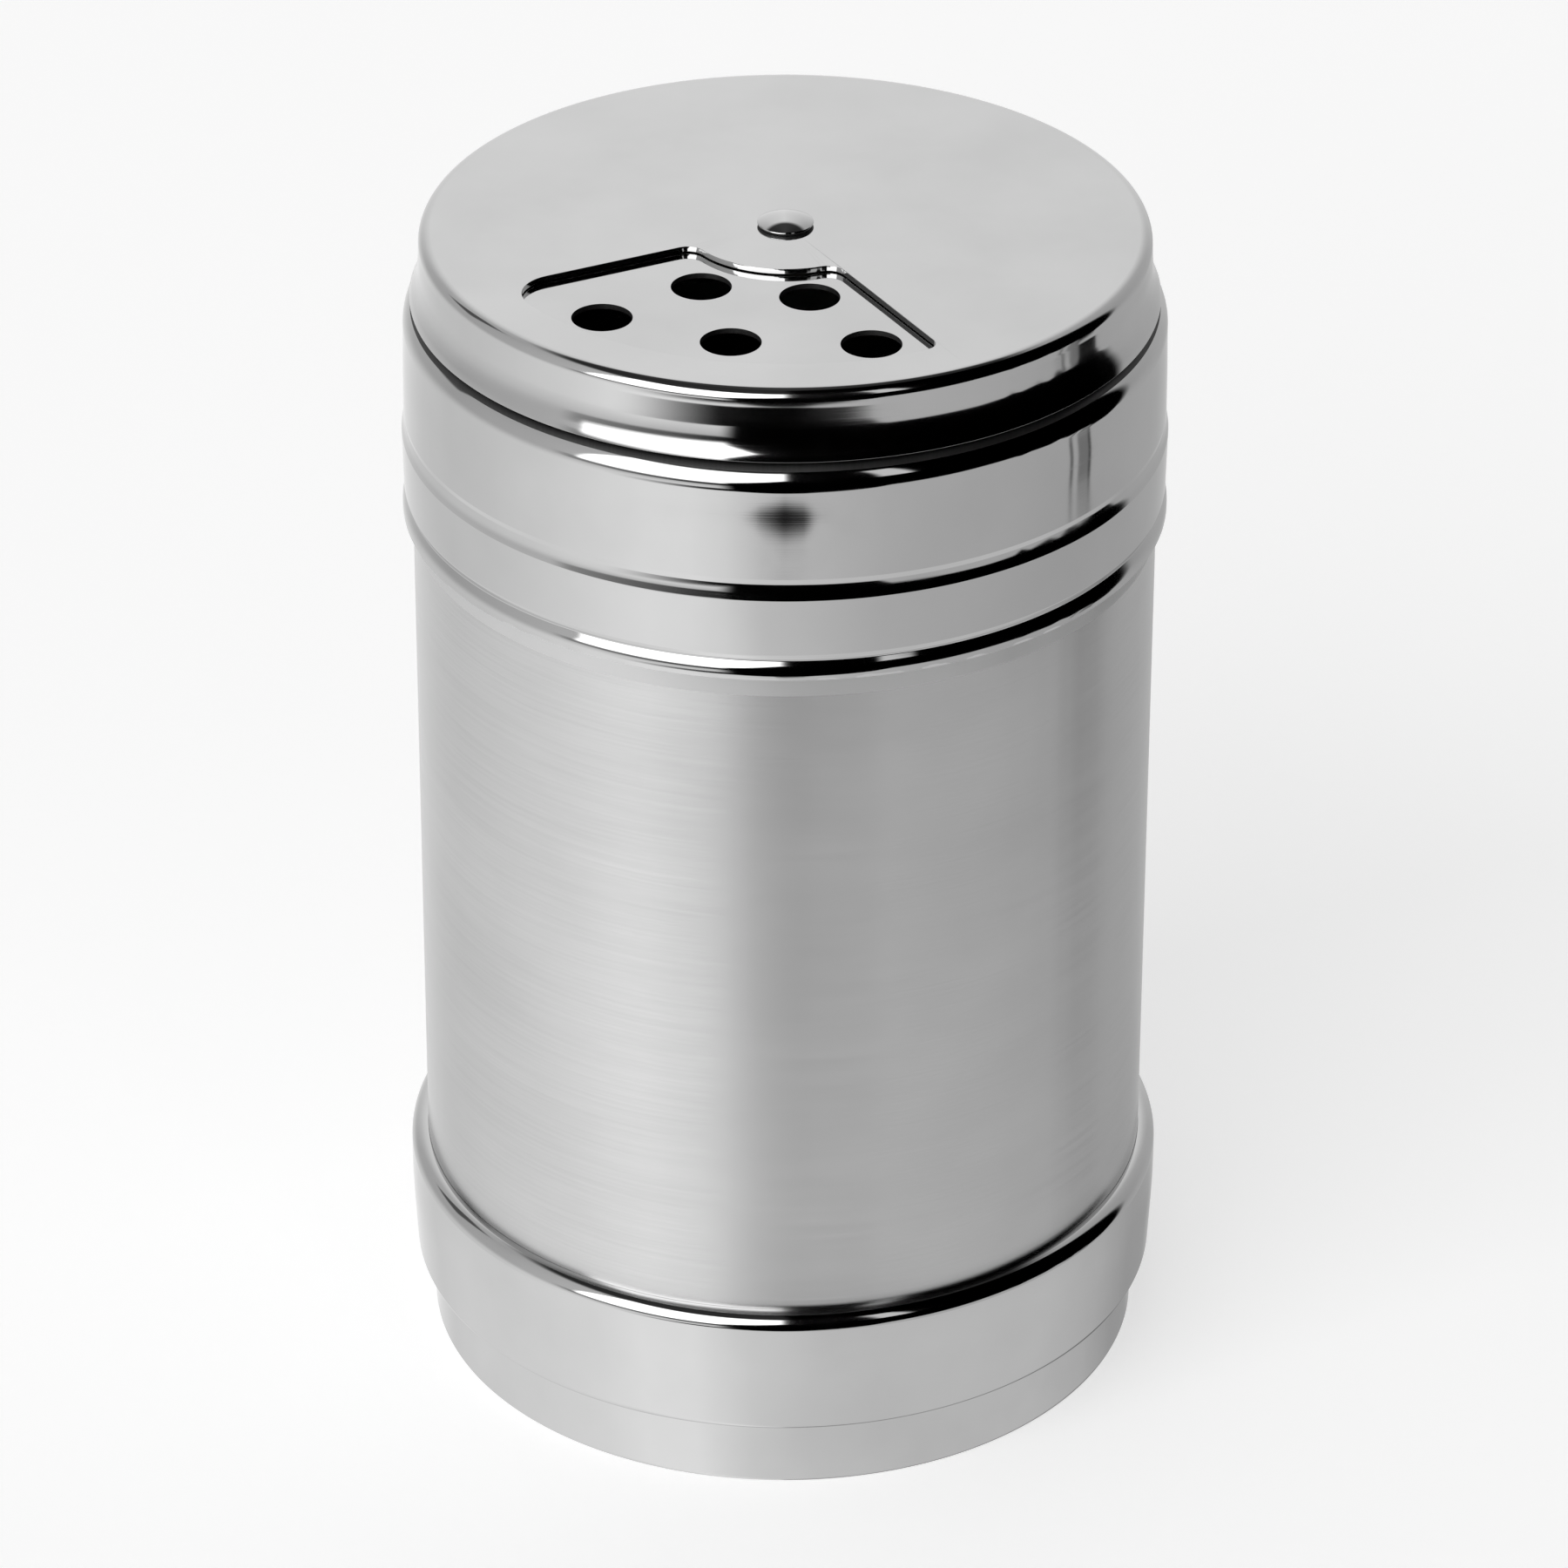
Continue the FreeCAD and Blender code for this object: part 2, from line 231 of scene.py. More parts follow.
def prism(name: str, plan: Sequence[Point], low: float, high: float) -> bpy.types.Object:
    """Makes a cutting tool with upright walls from a filled and extruded outline.

    Args:
        name: Name of the tool.
        plan: (x, y) points of the outline, in millimetres.
        low: Height of its foot.
        high: Height of its top.

    Returns:
        The tool, in object mode.
    """
    tool = draw(name, [(x, y, low) for x, y in plan])
    bpy.ops.mesh.edge_face_add()
    lift = (0, 0, (high - low) * MM)
    bpy.ops.mesh.extrude_region_move(TRANSFORM_OT_translate={"value": lift})
    bpy.ops.mesh.select_all(action="SELECT")
    bpy.ops.mesh.normals_make_consistent(inside=False)
    bpy.ops.object.mode_set(mode="OBJECT")
    return tool


def drill(
    name: str, radius: float, reach: float, angle: float, low: float, high: float
) -> bpy.types.Object:
    """Makes a round cutting tool that stands beside the can's axis.

    Args:
        name: Name of the tool.
        radius: Radius of the hole that it cuts.
        reach: Distance from the axis.
        angle: Angle from +X, in radians.
        low: Height of its foot.
        high: Height of its top.

    Returns:
        The tool, in object mode.
    """
    place = Vector((reach * math.cos(angle), reach * math.sin(angle), (low + high) / 2)) * MM
    bpy.ops.object.select_all(action="DESELECT")
    bpy.ops.mesh.primitive_cylinder_add(
        vertices=DRILL_SIDES, radius=radius * MM, depth=(high - low) * MM, location=place
    )
    tool = bpy.context.object
    tool.name = name
    return tool


def modify(piece: bpy.types.Object, kind: str, **settings: Any) -> None:
    """Adds a modifier with its settings and applies it.

    Args:
        piece: Object that gets the modifier.
        kind: Blender's name of the modifier type.
        settings: Values of the modifier's properties.
    """
    bpy.ops.object.select_all(action="DESELECT")
    piece.select_set(True)
    bpy.context.view_layer.objects.active = piece
    modifier = piece.modifiers.new(kind.lower(), kind)
    for key, value in settings.items():
        setattr(modifier, key, value)
    bpy.ops.object.modifier_apply(modifier=modifier.name)


def give_sheet(piece: bpy.types.Object, thickness: float) -> None:
    """Gives a spun surface its sheet thickness, laid inwards.

    Args:
        piece: Spun surface, which becomes the outside of the sheet.
        thickness: Thickness of the sheet in millimetres.
    """
    modify(piece, "SOLIDIFY", thickness=thickness * MM, offset=-1, use_even_offset=True)


def cut(piece: bpy.types.Object, tools: Iterable[bpy.types.Object]) -> None:
    """Punches the tools out of a piece and throws the tools away.

    Args:
        piece: Piece that gets the openings.
        tools: Solids in the shape of the openings.
    """
    for tool in tools:
        modify(piece, "BOOLEAN", operation="DIFFERENCE", solver="EXACT", object=tool)
        bpy.data.objects.remove(tool)


def finish_edges(piece: bpy.types.Object, rounding: float, angle: float = 50) -> None:
    """Breaks the sharp edges, as tumbling does, and smooths the shading.

    Args:
        piece: Object to finish.
        rounding: Width of the broken edges in millimetres, or 0 to leave them.
        angle: Least angle of a sharp edge, in degrees.
    """
    if rounding > 0:
        modify(
            piece,
            "BEVEL",
            width=rounding * MM,
            segments=3,
            limit_method="ANGLE",
            angle_limit=math.radians(angle),
            use_clamp_overlap=True,
            miter_outer="MITER_ARC",
        )
    bpy.ops.object.select_all(action="DESELECT")
    piece.select_set(True)
    bpy.context.view_layer.objects.active = piece
    bpy.ops.object.shade_smooth_by_angle(angle=SMOOTH_BELOW)
    modify(piece, "WEIGHTED_NORMAL", weight=50, keep_sharp=True)


# Finishes


def linear(hex_color: str) -> tuple[float, float, float, float]:
    """Turns an sRGB colour into the linear one that the nodes need.

    Args:
        hex_color: Six hex digits, such as C8C8C8.

    Returns:
        Red, green and blue from 0 to 1, and an alpha of 1.
    """
    values = [int(hex_color[i : i + 2], 16) / 255 for i in (0, 2, 4)]
    red, green, blue = (
        v / 12.92 if v <= 0.04045 else ((v + 0.055) / 1.055) ** 2.4 for v in values
    )
    return red, green, blue, 1.0


def add(
    tree: bpy.types.NodeTree,
    kind: str,
    settings: dict[str | int, Any] | None = None,
    links: dict[str | int, bpy.types.NodeSocket] | None = None,
) -> bpy.types.Node:
    """Adds a node with its settings and links.

    Args:
        tree: Node tree of a material or a world.
        kind: Node type, without its "ShaderNode" start.
        settings: Properties by name, and input values by input name or number.
        links: Output sockets by the name or number of the input that they feed.

    Returns:
        The new node.
    """
    made = tree.nodes.new("ShaderNode" + kind)
    for key, value in (settings or {}).items():
        if isinstance(key, str) and hasattr(made, key):
            setattr(made, key, value)
        else:
            made.inputs[key].default_value = value
    for key, socket in (links or {}).items():
        tree.links.new(socket, made.inputs[key])
    return made


@dataclass(frozen=True)
class Field:
    """A value that varies over a surface, or over the directions round the shaker."""

    tree: bpy.types.NodeTree
    socket: bpy.types.NodeSocket

    def feed(self, target: bpy.types.NodeSocket) -> None:
        """Links the value to an input of another node."""
        self.tree.links.new(self.socket, target)

    def worked(
        self,
        operation: str,
        first: "Field | float",
        second: "Field | float" = 0.0,
        clamp: bool = False,
    ) -> "Field":
        """Works out one operation on two values.

        Args:
            operation: Blender's name of the operation.
            first: First value.
            second: Second value.
            clamp: Whether the result is kept between 0 and 1.

        Returns:
            The result.
        """
        made = add(self.tree, "Math", {"operation": operation, "use_clamp": clamp})
        for index, value in enumerate((first, second)):
            if isinstance(value, Field):
                value.feed(made.inputs[index])
            else:
                made.inputs[index].default_value = value
        return Field(self.tree, made.outputs[0])

    def __add__(self, other: "Field | float") -> "Field":
        """The sum of this value and another."""
        return self.worked("ADD", self, other)

    def __sub__(self, other: "Field | float") -> "Field":
        """This value less another."""
        return self.worked("SUBTRACT", self, other)

    def __rsub__(self, other: float) -> "Field":
        """A number less this value."""
        return self.worked("SUBTRACT", other, self)

    def __mul__(self, other: "Field | float") -> "Field":
        """The product of this value and another."""
        return self.worked("MULTIPLY", self, other)

    def larger(self, other: "Field", clamp: bool = False) -> "Field":
        """The larger of this value and another."""
        return self.worked("MAXIMUM", self, other, clamp)

    def mapped(self, old: Point, new: Point, smooth: bool = False) -> "Field":
        """Maps the value from one range to another, and clamps it.

        Args:
            old: Two values to map from.
            new: The two values that they become.
            smooth: Whether the change sets in and ends softly.

        Returns:
            The mapped value.
        """
        names = ("From Min", "From Max", "To Min", "To Max")
        settings: dict[str | int, Any] = dict(zip(names, (*old, *new)))
        settings["interpolation_type"] = "SMOOTHSTEP" if smooth else "LINEAR"
        made = add(self.tree, "MapRange", settings, {"Value": self.socket})
        return Field(self.tree, made.outputs[0])

    def within(self, low: float, high: float, soft: float) -> "Field":
        """Tells where the value lies between two limits.

        Args:
            low: Lower limit.
            high: Upper limit.
            soft: Half the width of the soft borders.

        Returns:
            1 between the limits and 0 elsewhere.
        """
        rise = self.mapped((low - soft, low + soft), (0, 1), smooth=True)
        return rise * self.mapped((high - soft, high + soft), (1, 0), smooth=True)

    def towards(self, other: "Field", share: "Field") -> "Field":
        """Goes from this value to another.

        Args:
            other: The value at a share of 1.
            share: How far to go, from 0 to 1.

        Returns:
            The value on the way.
        """
        return self + (other - self) * share


def grain(
    tree: bpy.types.NodeTree,
    coords: bpy.types.NodeSocket,
    pitch: Sequence[float],
    detail: float = 2.0,
) -> Field:
    """Noise whose grains have a real size.

    Args:
        tree: Node tree of the material.
        coords: Object coordinates in millimetres.
        pitch: Size of a grain along X, Y and Z, in millimetres.
        detail: Octaves of finer noise on top.

    Returns:
        The noise value, about 0.5 on average.
    """
    scaled = add(tree, "Mapping", {"Scale": [1 / p for p in pitch]}, {"Vector": coords})
    settings = {"Scale": 1.0, "Detail": detail}
    noise = add(tree, "TexNoise", settings, {"Vector": scaled.outputs[0]})
    return Field(tree, noise.outputs[0])


@dataclass(frozen=True)
class Finish(ABC):
    """How one material was made, and what that gives the eye."""

    name: str
    color: str
    roughness: float

    def material(self) -> bpy.types.Material:
        """Makes the finish as a Blender material, once for all its pieces.

        Returns:
            The material.
        """
        found = bpy.data.materials.get(self.name)
        if found:
            return found
        made = bpy.data.materials.new(self.name)
        made.use_nodes = True
        tree = made.node_tree
        tree.nodes.clear()
        place = add(tree, "TexCoord")
        mapping = {"Scale": [1 / MM] * 3}
        coords = add(tree, "Mapping", mapping, {"Vector": place.outputs["Object"]})
        shader = add(tree, "BsdfPrincipled", {"Base Color": linear(self.color)})
        add(tree, "OutputMaterial", links={"Surface": shader.outputs[0]})
        self.surface(tree, shader, coords.outputs[0])
        return made

    @abstractmethod
    def surface(
        self, tree: bpy.types.NodeTree, shader: bpy.types.Node, coords: bpy.types.NodeSocket
    ) -> None:
        """Adds what is particular to this finish to the shader.

        Args:
            tree: Node tree of the material.
            shader: The surface shader.
            coords: Object coordinates in millimetres.
        """

    def tint(self, shader: bpy.types.Node, shade: Field) -> None:
        """Gives the shader the finish's colour, darker or lighter from place to place.

        Args:
            shader: The surface shader.
            shade: Factor on the colour, about 1.
        """
        tree = shade.tree
        settings = {"data_type": "RGBA", "blend_type": "MULTIPLY", 0: 1.0, 6: linear(self.color)}
        mix = add(tree, "Mix", settings)
        joined = add(tree, "CombineColor", links={i: shade.socket for i in range(3)})
        tree.links.new(joined.outputs[0], mix.inputs[7])
        tree.links.new(mix.outputs[2], shader.inputs["Base Color"])

    @staticmethod
    def bump(shader: bpy.types.Node, *heights: tuple[Field, float]) -> None:
        """Feeds the shader's normal from a chain of bumps.

        Args:
            shader: The surface shader.
            heights: Each height field and its depth in millimetres.
        """
        normal = None
        for height, depth in heights:
            links = {"Height": height.socket}
            if normal is not None:
                links["Normal"] = normal
            settings = {"Strength": 1.0, "Distance": depth * MM}
            normal = add(height.tree, "Bump", settings, links).outputs[0]
        heights[0][0].tree.links.new(normal, shader.inputs["Normal"])


@dataclass(frozen=True)
class PolishedSteel(Finish):
    """Drawn stainless sheet, buffed bright: a mirror with faint haze where hands touch it.

    The draw leaves the sheet very slightly wavy, which bends reflections.
    """

    waviness: float = 0.006
    haze: float = 0.05

    def surface(
        self, tree: bpy.types.NodeTree, shader: bpy.types.Node, coords: bpy.types.NodeSocket
    ) -> None:
        """Adds haze, hairlines from the buffing mop and waviness.

        Args:
            tree: Node tree of the material.
            shader: The surface shader.
            coords: Object coordinates in millimetres.
        """
        shader.inputs["Metallic"].default_value = 1.0
        clouds = grain(tree, coords, (9, 9, 9), 4)
        hairs = grain(tree, coords, (14, 14, 0.12), 2)
        haze = clouds.mapped((0.45, 0.75), (0, self.haze), smooth=True)
        hair = hairs.mapped((0.62, 0.8), (0, 0.05))
        (haze + hair + self.roughness).feed(shader.inputs["Roughness"])
        self.tint(shader, clouds.mapped((0.3, 0.75), (1.02, 0.95)))
        waves = grain(tree, coords, (7, 7, 7), 1)
        self.bump(shader, (waves, self.waviness), (hairs, 0.0003))


@dataclass(frozen=True)
class BrushedSteel(Finish):
    """Stainless sheet brushed round the can: fine level lines, and light spread up and down.

    The real lines are about 0.05 mm apart. They are drawn about 0.2 mm apart so that they show.
    """

    anisotropy: float = 0.85
    line_pitch: float = 0.2
    line_length: float = 11.0

    def surface(
        self, tree: bpy.types.NodeTree, shader: bpy.types.Node, coords: bpy.types.NodeSocket
    ) -> None:
        """Adds brushed lines, clouding, specks and the direction of the brushing.

        Args:
            tree: Node tree of the material.
            shader: The surface shader.
            coords: Object coordinates in millimetres.
        """
        shader.inputs["Metallic"].default_value = 1.0
        shader.inputs["Anisotropic"].default_value = self.anisotropy
        shader.inputs["Anisotropic Rotation"].default_value = 0.25
        tangent = add(tree, "Tangent", {"direction_type": "RADIAL", "axis": "Z"})
        tree.links.new(tangent.outputs[0], shader.inputs["Tangent"])
        long, pitch = self.line_length, self.line_pitch
        fine = grain(tree, coords, (long, long, pitch), 3)
        coarse = grain(tree, coords, (long * 2, long * 2, pitch * 5), 2)
        clouds = grain(tree, coords, (16, 16, 10), 3)
        lines = fine + coarse * 0.6
        shade = lines.mapped((0.45, 1.15), (0.93, 1.05))
        shade = shade * clouds.mapped((0.35, 0.7), (1.03, 0.96))
        self.tint(shader, shade * self.specks(tree, coords))
        low, high = self.roughness - 0.03, self.roughness + 0.05
        lines.mapped((0.5, 1.1), (low, high)).feed(shader.inputs["Roughness"])
        self.bump(shader, (fine, 0.0012), (clouds, 0.01))

    @staticmethod
    def specks(tree: bpy.types.NodeTree, coords: bpy.types.NodeSocket) -> Field:
        """Scatters a few tiny dark pits, about 0.3 mm wide and 9 mm apart.

        Args:
            tree: Node tree of the material.
            coords: Object coordinates in millimetres.

        Returns:
            A factor on the colour: 1, and less at the pits.
        """
        settings = {"Scale": 0.11, "Randomness": 1.0}
        cells = add(tree, "TexVoronoi", settings, {"Vector": coords})
        away = Field(tree, cells.outputs["Distance"])
        split = add(tree, "SeparateColor", links={0: cells.outputs["Color"]})
        chosen = Field(tree, split.outputs[0]).mapped((0.72, 0.8), (0, 0.7))
        return 1.0 - away.mapped((0.012, 0.03), (1, 0), smooth=True) * chosen


@dataclass(frozen=True)
class MillSteel(Finish):
    """Steel as rolled, neither brushed nor polished: a soft even grey with fine rolling lines."""

    def surface(
        self, tree: bpy.types.NodeTree, shader: bpy.types.Node, coords: bpy.types.NodeSocket
    ) -> None:
        """Adds rolling lines and clouding.

        Args:
            tree: Node tree of the material.
            shader: The surface shader.
            coords: Object coordinates in millimetres.
        """
        shader.inputs["Metallic"].default_value = 1.0
        lines = grain(tree, coords, (0.15, 8, 8), 2)
        clouds = grain(tree, coords, (6, 6, 6), 3)
        low, high = self.roughness - 0.05, self.roughness + 0.08
        clouds.mapped((0.3, 0.7), (low, high)).feed(shader.inputs["Roughness"])
        self.tint(shader, lines.mapped((0.3, 0.7), (0.92, 1.04)))
        self.bump(shader, (lines, 0.0008))


@dataclass(frozen=True)
class MouldedPlastic(Finish):
    """Injection-moulded plastic: satin, with the fine spark texture of the mould."""

    translucency: float = 0.0

    def surface(
        self, tree: bpy.types.NodeTree, shader: bpy.types.Node, coords: bpy.types.NodeSocket
    ) -> None:
        """Adds the mould's texture and a little light through the wall.

        Args:
            tree: Node tree of the material.
            shader: The surface shader.
            coords: Object coordinates in millimetres.
        """
        shader.inputs["Subsurface Weight"].default_value = self.translucency
        shader.inputs["Subsurface Radius"].default_value = (MM, MM, MM)
        shader.inputs["IOR"].default_value = 1.49
        spark = grain(tree, coords, (0.12, 0.12, 0.12), 2)
        clouds = grain(tree, coords, (5, 5, 5), 2)
        low, high = self.roughness - 0.05, self.roughness + 0.05
        clouds.mapped((0.3, 0.7), (low, high)).feed(shader.inputs["Roughness"])
        self.tint(shader, clouds.mapped((0.3, 0.7), (0.97, 1.02)))
        self.bump(shader, (spark, 0.002))


# Stainless sheet, drawn and buffed. The lid is the clearest mirror, and the cap, which fingers
# turn, is a little hazier.
CAP_STEEL = PolishedSteel("buffed_stainless_cap", "CFCFCF", 0.07)
LID_STEEL = PolishedSteel("buffed_stainless_lid", "CDCDCD", 0.05)
BASE_STEEL = PolishedSteel("buffed_stainless_base", "CFCFCF", 0.06)
# Turned and tumbled rivet: bright, without the waves of drawn sheet.
RIVET_STEEL = PolishedSteel("polished_rivet_steel", "CFCFCF", 0.05, waviness=0.002)
# The strip that the brush doesn't reach: a soft even sheen below the lid and on the neck.
NECK_STEEL = PolishedSteel("bright_neck_steel", "D8D8D8", 0.42)
# Brushed round the can: a broad upright highlight, drawn out across the lines.
BODY_STEEL = BrushedSteel("brushed_stainless_body", "D2D2D2", 0.21)
# Stainless sheet as it leaves the mill: the dim grey inside of every shell.
INNER_STEEL = MillSteel("rolled_stainless", "BDBDBD", 0.28)
# Edges that the press sheared: dull, and dark partly as painted shade, so that gaps read as gaps.
# The same dark steel paints shade on the shoulder under the cap's lip and under the rivet's head.
SHEARED_AND_SHADE_STEEL = MillSteel("sheared_edge_and_painted_shade", "5A5A5A", 0.5)
# Hardened strip, darkened by its heat treatment.
SPRING_STEEL = MillSteel("hardened_spring_steel", "8E8E90", 0.34)
# Moulded polypropylene: milky white, lighter where the wall is thin.
LINER_PLASTIC = MouldedPlastic("moulded_polypropylene", "E9E8E2", 0.42, translucency=0.15)
# Pressed silicone: a soft translucent white.
SEAL_SILICONE = MouldedPlastic("pressed_silicone", "E2E1DA", 0.5, translucency=0.35)
# Undyed nylon: a warmer, waxy white.
WASHER_NYLON = MouldedPlastic("natural_nylon", "E3E0D4", 0.4, translucency=0.1)


class Body(Enum):
    """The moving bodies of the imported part."""

    CAN = "can"
    SEAL = "seal"
    LID = "lid"
    CAP = "cap"


class ThreadSide(Enum):
    """Which way a thread's ridge stands out of its wall."""

    OUTWARD = 1
    INWARD = -1


@dataclass(frozen=True)
class Thread:
    """One right-hand ridge of round section.

    The ridge's section is an arc of a circle that stands out of the wall.
    """

    side: ThreadSide
    wall: float
    low: float
    start: float
    section: float
    height: float
    pitch: float = 3.6
    turns: float = 1.25
    fade: float = 25.0

    def rise(self, angle: float, height: float) -> float:
        """How far the ridge stands out of the wall at one place.

        Args:
            angle: Degrees from +X.
            height: Millimetres above the table.

        Returns:
            Millimetres, 0 away from the ridge.
        """
        span = 360 * self.turns
        best = 0.0
        first = (angle - self.start) % 360
        for wound in (first - 360, first, first + 360, first + 720):
            along = min(max(wound, -self.fade), span + self.fade)
            if along != wound:
                continue
            away = abs(height - self.low - self.pitch * wound / 360)
            if away >= self.section:
                continue
            arc = math.sqrt(self.section**2 - away**2) - self.section + self.height
            over = max(0.0, -wound, wound - span) / self.fade
            best = max(best, arc * math.cos(over * math.pi / 2))
        return best

    def press_into(self, piece: bpy.types.Object, walls: Point) -> None:
        """Moves the vertices of a spun wall out along the ridge.

        Args:
            piece: Spun object that has the wall.
            walls: Least and greatest radius of the vertices that move, in millimetres.
        """
        for vertex in piece.data.vertices:
            radius = vertex.co.xy.length / MM
            if not walls[0] <= radius <= walls[1]:
                continue
            angle = math.degrees(math.atan2(vertex.co.y, vertex.co.x))
            rise = self.rise(angle, vertex.co.z / MM) * self.side.value
            vertex.co.xy *= (radius + rise) / radius
        piece.data.update()


def fine_run(low: Point, high: Point, step: float) -> list[Corner]:
    """Spaces corners evenly between two points of an outline, both left out.

    Args:
        low: First point.
        high: Last point.
        step: Greatest distance between two corners, in millimetres.

    Returns:
        The corners, none of them rounded.
    """
    count = math.ceil(math.dist(low, high) / step)
    ends = Vector(low), Vector(high)
    return [(*ends[0].lerp(ends[1], index / count), 0.0) for index in range(1, count)]


# Sub-assemblies


@dataclass
class SubAssembly(ABC):
    """Pieces that are built and dressed together."""

    pieces: list[bpy.types.Object] = field(default_factory=list, init=False)

    @abstractmethod
    def build(self) -> None:
        """Makes the meshes."""

    @abstractmethod
    def dress(self) -> None:
        """Gives the pieces their finishes."""

    def seat(self, piece: bpy.types.Object, node: str, body: Body, slot: str) -> None:
        """Puts a new piece on its body in the place of a CAD node.

        Args:
            piece: The new object.
            node: Name of the CAD node that it stands for.
            body: Body that it moves with.
            slot: Material slot of the record; not used.
        """
        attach(piece, body.value)
        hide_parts(node)
        self.pieces.append(piece)
        log.info("%s: %d faces", piece.name, len(piece.data.polygons))

    @staticmethod
    def paint(piece: bpy.types.Object, *finishes: Finish) -> None:
        """Fills a piece's material slots with finishes.

        Args:
            piece: Object to paint.
            finishes: One finish for each slot, in order.
        """
        piece.data.materials.clear()
        for finish in finishes:
            piece.data.materials.append(finish.material())


@dataclass
class BaseCup(SubAssembly):
    """Polished cup at the foot: resting ring, step, tucked band and closed shoulder."""

    sheet: float = 0.45
    foot: float = 27.27
    foot_height: float = 5.6
    band: float = 28.86
    tuck: float = 28.55
    top: float = 16.0
    can: float = 27.6

    def build(self) -> None:
        """Spins the cup."""
        outline = rounded(
            [
                (0, 1.0, 0),
                (23.02, 1.0, 0.9),
                (24.22, 0, 0.45),
                (self.foot, 0, 0.45),
                (self.foot, self.foot_height, 0.22),
                (self.tuck, self.foot_height, 0.65),
                (self.band, 11.6, 60),
                (self.band, self.top, 1.22),
                (self.can, self.top, 0),
            ]
        )
        cup = spun("base_shell", outline)
        give_sheet(cup, self.sheet)
        finish_edges(cup, 0.08)
        self.seat(cup, "base_cup", Body.CAN, "polished_steel")

    def dress(self) -> None:
        """Polishes the cup."""
        self.paint(self.pieces[0], BASE_STEEL)


@dataclass
class Can(SubAssembly):
    """Brushed can wall with its bright neck, and the dish that closes it below."""

    sheet: float = 0.4
    radius: float = 27.58
    foot: float = 6.05
    shoulder: float = 71.6
    neck: float = 25.3
    rim: float = 84.0
    roll: float = 0.7
    brushed_to: float = 68.5
    threaded: Point = (72.9, 83.2)
    thread_low: float = 75.8
    floor_rise: float = 5.0

    def build(self) -> None:
        """Spins the wall, rolls the thread into its neck and adds the floor."""
        bead = self.rim - self.roll
        roll_centre = self.neck - self.roll
        thread_foot, thread_top = ((self.neck, height) for height in self.threaded)
        outline = rounded(
            [
                (self.radius, self.foot, 0),
                (self.radius, self.brushed_to, 0),
                (self.radius, self.shoulder, 1.5),
                (self.neck, self.shoulder + 0.5, 0.8),
                (*thread_foot, 0),
                *fine_run(thread_foot, thread_top, THREAD_STEP),
                (*thread_top, 0),
                (self.neck, bead, 0),
            ]
        )
        for index in range(1, 13):
            turn = math.radians(22.5 * index)
            x = roll_centre + self.roll * math.cos(turn)
            outline.append((x, bead + self.roll * math.sin(turn)))
        wall = spun("can_wall", outline)
        thread = Thread(ThreadSide.OUTWARD, self.neck, self.thread_low, 0, 1.2, 0.85)
        thread.press_into(wall, (self.neck - ON_WALL, self.neck + ON_WALL))
        give_sheet(wall, self.sheet)
        finish_edges(wall, 0.0)
        self.seat(wall, "body_sleeve", Body.CAN, "brushed_body_steel")
        inside = self.radius - self.sheet - 0.02
        top = self.foot + self.floor_rise
        dish_line = [(0, self.foot, 0), (inside, self.foot, 1.2), (inside, top, 0)]
        dish = spun("can_floor", rounded(dish_line))
        give_sheet(dish, self.sheet)
        finish_edges(dish, 0.06)
        self.seat(dish, "inner_floor", Body.CAN, "plain_steel")

    def dress(self) -> None:
        """Brushes the outside up to the bright strip, and leaves the inside as rolled."""
        wall, dish = self.pieces
        self.paint(wall, BODY_STEEL, NECK_STEEL, INNER_STEEL)
        for face in wall.data.polygons:
            radial = face.center.xy.normalized().dot(face.normal.xy)
            if radial < -0.3 and face.center.z < self.shoulder * MM:
                face.material_index = 2
            elif face.center.z > self.brushed_to * MM:
                face.material_index = 1
        self.paint(dish, INNER_STEEL)


